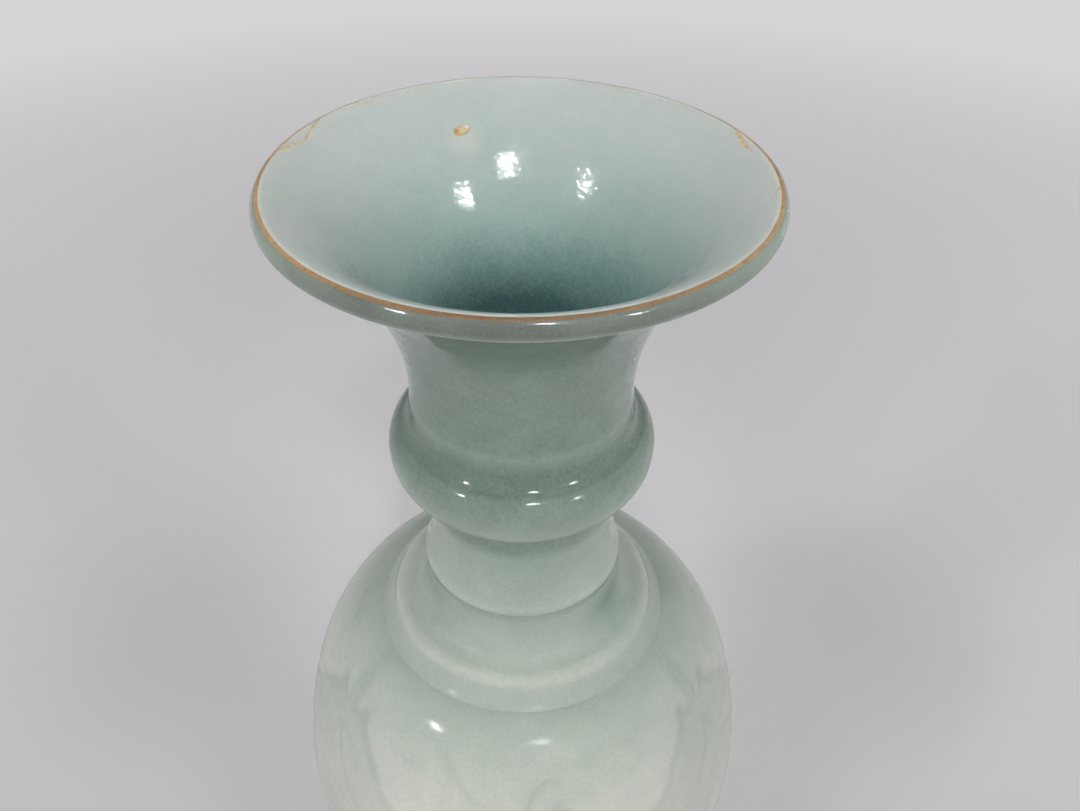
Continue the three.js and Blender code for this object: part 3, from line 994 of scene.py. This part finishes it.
# Thick glossy glaze over clay that is bare at the very foot
def celadon_glaze():
    g = Surface("celadon_glaze")
    split = g.node("ShaderNodeSeparateXYZ", Vector=g.place).outputs
    across, height = split["Y"], split["Z"]
    ragged = g.math("ADD", height, g.cloud(*CLAY_EDGE_WANDER))
    bare = g.span(ragged, CLAY_BARE, CLAY_COVERED, 1.0, 0.0)
    clay = g.mix(g.noise(*CLAY_CLOUDS), CLAY_DARK, CLAY)
    colour = g.mix(bare, glaze_colour(g, across), clay)
    satin = g.span(height, SHOULDER_SEAM, STEP_SEAM, BODY_SATIN, 0.0)
    gloss = g.math("ADD", g.cloud(*GLAZE_GLOSS), satin)
    roughness = g.math("ADD", gloss, g.math("MULTIPLY", bare, CLAY_ROUGH))
    return g.dressed(colour, roughness, glaze_unevenness(g, across, height))


IRON_BROWN = seen(178, 140, 92)
IRON_SHADED = seen(112, 82, 54)
IRON_DARK = seen(142, 100, 60)
IRON_WORN = seen(184, 166, 132)
IRON_DOTS = (900.0, 3.0, 0.46, 0.70, 0.0, 0.7)
IRON_WEAR = (120.0, 4.0, 0.50, 0.72, 0.0, 0.7)
# The wash is darker towards the front: painted shade
IRON_SHADE_FROM = 0.55
IRON_SHADE_SHARE = 0.8
IRON_GLOSS = (0.32, 0.5)
IRON_DIMPLES = (1500.0, 2.0, 0.03 * MM, 0.6)


# Iron wash on the lip: brown with darker dots, worn pale in places, and darker at the front as painted
# shade
def iron_wash():
    g = Surface("iron_wash")
    dots = g.cloud(*IRON_DOTS)
    colour = g.mix(dots, IRON_BROWN, IRON_DARK)
    colour = g.mix(g.cloud(*IRON_WEAR), colour, IRON_WORN)
    across = g.node("ShaderNodeSeparateXYZ", Vector=g.place).outputs["Y"]
    darkening = g.span(across, -LIP_RADIUS, -IRON_SHADE_FROM * LIP_RADIUS, IRON_SHADE_SHARE, 0.0)
    colour = g.mix(darkening, colour, IRON_SHADED)
    return g.dressed(colour, g.span(dots, 0.0, 1.0, *IRON_GLOSS), g.dimples(*IRON_DIMPLES))


GRIT_OCHRE = seen(206, 189, 146)
GRIT_ORANGE = seen(188, 140, 92)
GRIT_PAINTED_GLINT = seen(238, 237, 230)
GRIT_MOST = 0.25
GRIT_CLOUDS = (1400.0, 2.0, 0.35, 0.65, 0.0, GRIT_MOST)
GRIT_GLOSS = (0.12, 0.25)
GRIT_DIMPLES = (2200.0, 2.0, 0.05 * MM, 0.5)

# Ends of the speck: share of its length and width from its middle, and reach
GRIT_CORE = (-0.32, 0.0, 0.9 * MM)
# The second end carries a painted highlight
GRIT_GLINT_SPOT = (0.40, -0.38, 1.1 * MM)
GRIT_SOLID = 0.4


def grit_end(g, along, across, reach):
    place = on_speck(along * SPECK_LENGTH, across * SPECK_WIDTH, SPECK_RISE)
    return g.spot(place, GRIT_SOLID * reach, reach, 1.0)


# Melted grit: ochre, with an orange core at one end and a painted highlight, a near-white spot, at the
# other
def kiln_grit():
    g = Surface("kiln_grit")
    cloud = g.cloud(*GRIT_CLOUDS)
    colour = g.mix(cloud, GRIT_OCHRE, GRIT_ORANGE)
    colour = g.mix(grit_end(g, *GRIT_CORE), colour, GRIT_ORANGE)
    colour = g.mix(grit_end(g, *GRIT_GLINT_SPOT), colour, GRIT_PAINTED_GLINT)
    return g.dressed(colour, g.span(cloud, 0.0, GRIT_MOST, *GRIT_GLOSS), g.dimples(*GRIT_DIMPLES))


FLAKE_TAN = seen(184, 157, 115)
FLAKE_DARK = seen(163, 130, 88)
FLAKE_PALE = seen(197, 184, 157)
FLAKE_PATCHES = (700.0, 3.0, 0.36, 0.64, 0.0, 1.0)
FLAKE_FLECKS = (2300.0, 2.0, 0.52, 0.70, 0.0, 0.6)
FLAKE_GLOSS = (0.45, 0.65)
FLAKE_DIMPLES = (1800.0, 2.0, 0.04 * MM, 0.7)


# Bare body that shows where the glaze flaked at the rim
def bare_flake():
    g = Surface("bare_flake")
    patch = g.cloud(*FLAKE_PATCHES)
    colour = g.mix(patch, FLAKE_TAN, FLAKE_PALE)
    colour = g.mix(g.cloud(*FLAKE_FLECKS), colour, FLAKE_DARK)
    return g.dressed(colour, g.span(patch, 0.0, 1.0, *FLAKE_GLOSS), g.dimples(*FLAKE_DIMPLES))


FLOOR_WHITE = seen(243, 241, 243)
FLOOR_WHITER = seen(245, 243, 245)
FLOOR_CLOUDS = (3.0, 2.0, 0.3, 0.7, 0.0, 1.0)
FLOOR_ROUGHNESS = 0.7
FLOOR_NEAR = 0.22
FLOOR_FAR = 1.10
FLOOR_REACH = 4.0
BACKDROP = seen(214, 212, 214)


# Plain pale table that runs on into a pale backdrop away from the vase
def pale_floor():
    g = Surface("pale_floor")
    colour = g.mix(g.cloud(*FLOOR_CLOUDS), FLOOR_WHITE, FLOOR_WHITER)
    g.put(g.shader.inputs["Base Color"], colour)
    g.put(g.shader.inputs["Roughness"], FLOOR_ROUGHNESS)
    reach = g.node("ShaderNodeVectorMath", {"operation": "LENGTH"})
    g.put(reach.inputs[0], g.place)
    far = g.span(reach.outputs["Value"], FLOOR_NEAR, FLOOR_FAR)
    backdrop = g.node("ShaderNodeEmission", Color=BACKDROP, Strength=1.0)
    blend = g.node("ShaderNodeMixShader", Fac=g.math("MULTIPLY", g.shown(), far))
    g.put(blend.inputs[1], g.shader.outputs["BSDF"])
    g.put(blend.inputs[2], backdrop.outputs["Emission"])
    g.put(g.output.inputs["Surface"], blend.outputs["Shader"])
    return g.material


CELADON = celadon_glaze()
IRON = iron_wash()


def finished(obj, material, slot, *nodes):
    obj.data.materials.append(material)
    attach(obj, "root")
    if nodes:
        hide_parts(*nodes)


AROUND = 192
AROUND_CARVED = 540

for node in SECTIONS:
    carved = node == "upper_body"
    piece = section(node, AROUND_CARVED if carved else AROUND, carved)
    finished(piece, CELADON, "celadon_glaze", node)

# Dished disc that closes the bottom of the body
DISC_PLUG = 25.7 * MM
DISC_SEAT = FOOT_SEAM + SLIP_GAP + FLOOR_THICKNESS + SLIP_GAP
DISC_EDGE = 1.7 * MM
DISC_EDGE_REACH = 2.0 * MM
DISC_DISH = 2.5 * MM
DISC_DISH_REACH = 8.0 * MM
DISC_MIDDLE = 0.05 * MM
DISC_DEEP = 0.85
DISC_DEEP_UNDER = 0.45


def base_disc():
    dish = DISC_TOP - DISC_DISH
    edge = (DISC_RADIUS, DISC_SEAT + DISC_EDGE)
    edge_handle = (DISC_RADIUS - DISC_EDGE_REACH, DISC_TOP)
    top = sweep(edge, edge_handle, (DISC_DISH_REACH, dish), (DISC_MIDDLE, dish), STEPS_MID)
    under = np.linspace((DISC_MIDDLE, DISC_BOTTOM), (DISC_PLUG, DISC_BOTTOM), POINTS_DISC)
    line = joined(under, [(DISC_PLUG, DISC_SEAT), (DISC_RADIUS, DISC_SEAT)], top)
    radius, height, angle = rounds(line, AROUND)
    within = np.where(height > DISC_SEAT, 1.0, 0.0)
    depth = np.where(height > DISC_SEAT, DISC_DEEP, DISC_DEEP_UNDER)
    layers = {"glaze_depth": depth, "glaze_inside": within, "lip_band": np.zeros(radius.shape)}
    return grid_mesh("base_disc_glazed", around_axis(radius, height, angle), layers, capped=True)


finished(base_disc(), CELADON, "celadon_glaze", "base_disc")

# Brown dressing along the crest of the lip, which wanders inward at the sides and outward at the back
DRESSING_START = -0.05 * MM
DRESSING_WIDTH = 0.9 * MM
DRESSING_PROUD = 0.04 * MM
DRESSING_SINK = 0.02 * MM
DRESSING_ROOT = 0.2 * MM
DRESSING_INSIDE = 0.1 * MM
DRESSING_SIDE = 80.0
DRESSING_SPREAD = 20.0
DRESSING_BACK = 0.7 * MM
DRESSING_BACK_FROM = 112.0
DRESSING_BACK_TURN = 24.0
DRESSING_SEED = 7
DRESSING_WAVES = (2, 3, 5, 8, 13, 21, 34, 55, 89)
DRESSING_WAVE_FALL = 0.55
DRESSING_UPPER_WANDER = 0.035 * MM
DRESSING_LOWER_WANDER = 0.07 * MM
DRESSING_STEPS = 12
DRESSING_AROUND = 720


def rim_dressing():
    angle = full_turn(DRESSING_AROUND)
    rng = np.random.default_rng(DRESSING_SEED)
    wander = np.zeros((2, DRESSING_AROUND))
    for turns in DRESSING_WAVES:
        phase = rng.uniform(0.0, 2 * math.pi, 2)
        wander += np.sin(turns * angle[None, :] + phase[:, None]) / turns ** DRESSING_WAVE_FALL
    beside = np.abs(degrees_from(0.0, np.degrees(angle - FRONT)))
    inward = DRESSING_INSIDE * np.exp(-((beside - DRESSING_SIDE) / DRESSING_SPREAD) ** 2)
    outward = DRESSING_BACK * kept((beside - DRESSING_BACK_FROM) / DRESSING_BACK_TURN)
    upper_edge = DRESSING_START - inward + outward + DRESSING_UPPER_WANDER * wander[0]
    lower_edge = DRESSING_START + DRESSING_WIDTH + outward + DRESSING_LOWER_WANDER * wander[1]
    share = np.linspace(0.0, 1.0, DRESSING_STEPS + 1)[:, None]
    here, normal = at_lip(upper_edge + (lower_edge - upper_edge) * share)
    proud = DRESSING_PROUD * np.sqrt(kept(4 * share * (1 - share))) - DRESSING_SINK
    face = here + normal * proud[..., None]
    back = here - normal * DRESSING_ROOT
    line = np.concatenate([face[::-1], back])
    points = turned(line[..., 0], line[..., 1], np.repeat(angle[None, :], len(line), axis=0))
    points[..., 2] = np.minimum(points[..., 2], LIP_TOP)
    return grid_mesh("rim_dressing_brown", points, {})


finished(rim_dressing(), IRON, "iron_wash", "rim_dressing")

# Kiln speck: an uneven dome on the wall, its lobes given as number round, size and turn
SPECK_AROUND = 48
SPECK_RINGS = 14
SPECK_MIDDLE = 0.02
SPECK_BLUNT = 2.5
SPECK_LOBES = ((3, 0.04, 0.5), (5, 0.03, 0.0))
SPECK_CROWN = 0.85
SPECK_END_RISE = 0.3
SPECK_UNEVEN = 0.08
SPECK_DOME = 2.4
SPECK_SINK = 0.03 * MM
SPECK_ROOT = 0.2 * MM
SPECK_ROOT_SHARE = 0.96


def kiln_speck():
    angle = full_turn(SPECK_AROUND)[None, :]
    share = np.linspace(SPECK_MIDDLE, 1.0, SPECK_RINGS)[:, None]
    blunt = np.abs(np.cos(angle)) ** SPECK_BLUNT + np.abs(np.sin(angle)) ** SPECK_BLUNT
    lobes = sum(size * np.cos(number * angle + turn) for number, size, turn in SPECK_LOBES)
    outline = blunt ** (-1.0 / SPECK_BLUNT) * (1.0 + lobes)
    along = 0.5 * SPECK_LENGTH * share * outline * np.cos(angle)
    across = 0.5 * SPECK_WIDTH * share * outline * np.sin(angle)
    swelling = SPECK_CROWN + SPECK_END_RISE * (2 * along / SPECK_LENGTH) ** 2
    swelling += SPECK_UNEVEN * np.cos(4 * angle) * share
    proud = SPECK_RISE * swelling * np.sqrt(kept(1.0 - share ** SPECK_DOME)) - SPECK_SINK
    top = on_speck(along, across, proud)
    root = np.full(proud.shape, -SPECK_ROOT)
    under = on_speck(along[::-1] * SPECK_ROOT_SHARE, across[::-1] * SPECK_ROOT_SHARE, root)
    return grid_mesh("kiln_speck", np.concatenate([top, under])[::-1], {}, capped=True)


finished(kiln_speck(), kiln_grit(), "iron_wash")

# Flakes and cracks inside the rim: degrees from the front, millimetres below the crest and wide
RIM_FLAWS = {
    "rim_flake_left_low": ((-101.2, 0.0, 0.6), (-104.2, 1.1, 1.0), (-107.3, 1.8, 0.75), (-109.6, 2.5, 0.5)),
    "rim_flake_left_high": (
        (-109.0, 2.6, 0.5), (-112.5, 1.9, 0.6), (-115.3, 1.3, 0.7), (-117.9, 0.7, 0.7), (-120.8, 0.1, 0.5),
    ),
    "rim_stroke_back": ((-131.4, 0.0, 0.4), (-133.6, 0.5, 0.8), (-135.4, 1.3, 0.7), (-138.0, 2.0, 0.35)),
    "rim_spot_back": ((-148.6, 1.6, 0.4), (-148.1, 1.75, 0.5), (-147.6, 1.8, 0.4)),
    "rim_flake_right": (
        (114.0, 0.0, 0.6), (111.1, 0.7, 0.95), (108.9, 1.27, 1.0), (106.2, 1.63, 0.9), (102.6, 1.6, 0.55),
    ),
    "rim_crack_right": ((83.2, 0.0, 0.4), (80.8, 0.9, 0.55), (78.0, 2.1, 0.4)),
}
FLAW_STEPS = 48
FLAW_ACROSS = 7
FLAW_PROUD = 0.035 * MM
FLAW_ROOT = 0.15 * MM
FLAW_TAPER_STEPS = 6.0
FLAW_TIP = 0.15
FLAW_UNEVEN = 0.15
FLAW_UNEVEN_TURN = 1.1


# A thin lens along a given line, rooted in the wall
def rim_flaw(name, points):
    line = through(points, FLAW_STEPS)
    step = np.arange(FLAW_STEPS)
    down = line[:, 1] * MM
    radius = np.interp(-down, LIP_ALONG, LIP_LINE[:, 0])
    side = np.radians(line[:, 0]) * radius
    heading = unit(np.stack([np.gradient(side), np.gradient(down)], 1))
    ends = np.clip(np.minimum(step, step[::-1]) / FLAW_TAPER_STEPS, FLAW_TIP, 1.0)
    uneven = 1.0 + FLAW_UNEVEN * np.sin(step * FLAW_UNEVEN_TURN)
    half = (0.5 * line[:, 2] * MM * np.sqrt(ends) * uneven)[:, None]
    share = np.linspace(-1.0, 1.0, FLAW_ACROSS)
    loop = np.concatenate([share, share[::-1]])
    proud = np.concatenate([FLAW_PROUD * (1.0 - share ** 2), np.full(FLAW_ACROSS, -FLAW_ROOT)])
    sides = side[:, None] - heading[:, 1:] * half * loop
    downs = down[:, None] + heading[:, :1] * half * loop
    places = in_mouth(np.degrees(sides / radius[:, None]), downs, proud + np.zeros(sides.shape))
    return grid_mesh(name, places, {}, capped=True)


FLAKE = bare_flake()
for name, points in RIM_FLAWS.items():
    finished(rim_flaw(name, points), FLAKE, "iron_wash")


def table_top():
    corners = [(-FLOOR_REACH, -FLOOR_REACH, 0), (FLOOR_REACH, -FLOOR_REACH, 0),
               (FLOOR_REACH, FLOOR_REACH, 0), (-FLOOR_REACH, FLOOR_REACH, 0)]
    mesh = bpy.data.meshes.new("table_top")
    mesh.from_pydata(corners, [], [(0, 1, 2, 3)])
    obj = linked("table_top", mesh)
    obj.data.materials.append(pale_floor())


table_top()

# A dim room that is brightest overhead, with a pale backdrop
ROOM_TINT = (0.97, 0.99, 1.0, 1.0)
SKY_LEVEL = 0.27
SKY_START = 0.25
HORIZON_LEVEL = 0.02
BACKDROP_LEVEL = 0.50

# Soft panels above, in front and at the sides: azimuth, elevation, size and power
LAMP_DISTANCE = 1.1
SOFT_LAMPS = (
    (0.0, 80.0, 0.30, 1.3),
    (0.0, 40.0, 0.25, 1.4),
    (-48.0, 58.0, 0.25, 1.2),
    (48.0, 58.0, 0.25, 1.1),
    (-60.0, 4.0, 0.30, 1.5),
    (60.0, 4.0, 0.30, 1.5),
    (-102.0, 16.0, 0.30, 1.7),
    (102.0, 16.0, 0.30, 2.0),
)

# Gridded lamps that glint in the glaze of the mouth and the ring: the same, and the spread of the beam
GLINTS = (
    (-52.5, 35.0, 0.10, 2.4, 20.0),
    (10.0, 46.5, 0.12, 4.4, 13.0),
    (46.0, 30.0, 0.10, 2.8, 14.0),
)
GLINT_DROP = 15.0 * MM

# A gridded lamp in front that lights the belly without a glint
BELLY_LAMP = (0.0, 25.0, 0.10, 4.5, 12.0)
BELLY_AIM = 15.0 * MM
NO_GRID = 180.0

# What the lamps are aimed at
MIDDLE = Vector((0.0, 0.0, NECK_SEAM))
BELLY = Vector((0.0, 0.0, BELLY_SEAM - BELLY_AIM))
MOUTH = Vector((0.0, 0.0, LIP_TOP - GLINT_DROP))


def room():
    world = bpy.data.worlds.new("room")
    bpy.context.scene.world = world
    g = Graph(world)
    up = g.node("ShaderNodeSeparateXYZ", Vector=g.places["Generated"]).outputs["Z"]
    level = g.span(up, SKY_START, 1.0, HORIZON_LEVEL, SKY_LEVEL)
    strength = g.node("ShaderNodeMix", Factor=g.shown(), A=level, B=BACKDROP_LEVEL).outputs["Result"]
    back = g.node("ShaderNodeBackground", Color=ROOM_TINT, Strength=strength)
    g.node("ShaderNodeOutputWorld", Surface=back.outputs["Background"])


# A round lamp; its power is that of a bare panel as bright along its middle, whatever the grid
def panel(name, target, azimuth, elevation, size, power, spread=NO_GRID):
    a = math.radians(azimuth)
    e = math.radians(elevation)
    direction = Vector((math.sin(a) * math.cos(e), -math.cos(a) * math.cos(e), math.sin(e)))
    light = bpy.data.lights.new(name, "AREA")
    light.shape = "DISK"
    light.size = size
    light.spread = math.radians(spread)
    half = 0.5 * light.spread
    light.energy = power * (1.0 - half / math.tan(half))
    obj = linked(name, light)
    obj.visible_camera = False
    obj.location = MIDDLE + direction * LAMP_DISTANCE
    obj.rotation_mode = "QUATERNION"
    obj.rotation_quaternion = (target - obj.location).to_track_quat("-Z", "Y")
    return obj


room()
for number, lamp in enumerate(SOFT_LAMPS):
    panel("soft_%d" % number, MIDDLE, *lamp).visible_glossy = False
panel("belly_light", BELLY, *BELLY_LAMP).visible_glossy = False
for number, lamp in enumerate(GLINTS):
    panel("glint_%d" % number, MOUTH, *lamp)

# Camera: close, looking down into the mouth, with its lens and turn given in pixels of the picture
PICTURE_PIXELS = 1080.0
FOCAL_PIXELS = 950.0
ASIDE_PIXELS = 18.2
CAMERA_SENSOR = 36.0
CAMERA_LENS = CAMERA_SENSOR * FOCAL_PIXELS / PICTURE_PIXELS
CAMERA_BACK = 169.39 * MM
CAMERA_OVER_LIP = 81.93 * MM
CAMERA_DOWN = math.radians(39.654)
CAMERA_TURN = math.atan(ASIDE_PIXELS / FOCAL_PIXELS)
CAMERA_ROLL = math.radians(0.3)
CAMERA_NEAREST = 0.01
CAMERA_FARTHEST = 50.0


def camera():
    data = bpy.data.cameras.new("camera")
    data.sensor_fit = "HORIZONTAL"
    data.sensor_width = CAMERA_SENSOR
    data.lens = CAMERA_LENS
    data.clip_start = CAMERA_NEAREST
    data.clip_end = CAMERA_FARTHEST
    obj = linked("camera", data)
    turn = Matrix.Rotation(math.pi / 2 - CAMERA_DOWN, 4, "X")
    turn @= Matrix.Rotation(-CAMERA_TURN, 4, "Y")
    turn @= Matrix.Rotation(-CAMERA_ROLL, 4, "Z")
    place = Matrix.Translation((0.0, -CAMERA_BACK, LIP_TOP + CAMERA_OVER_LIP))
    obj.matrix_world = place @ turn
    bpy.context.scene.camera = obj


camera()
bpy.context.scene.view_settings.view_transform = "Standard"
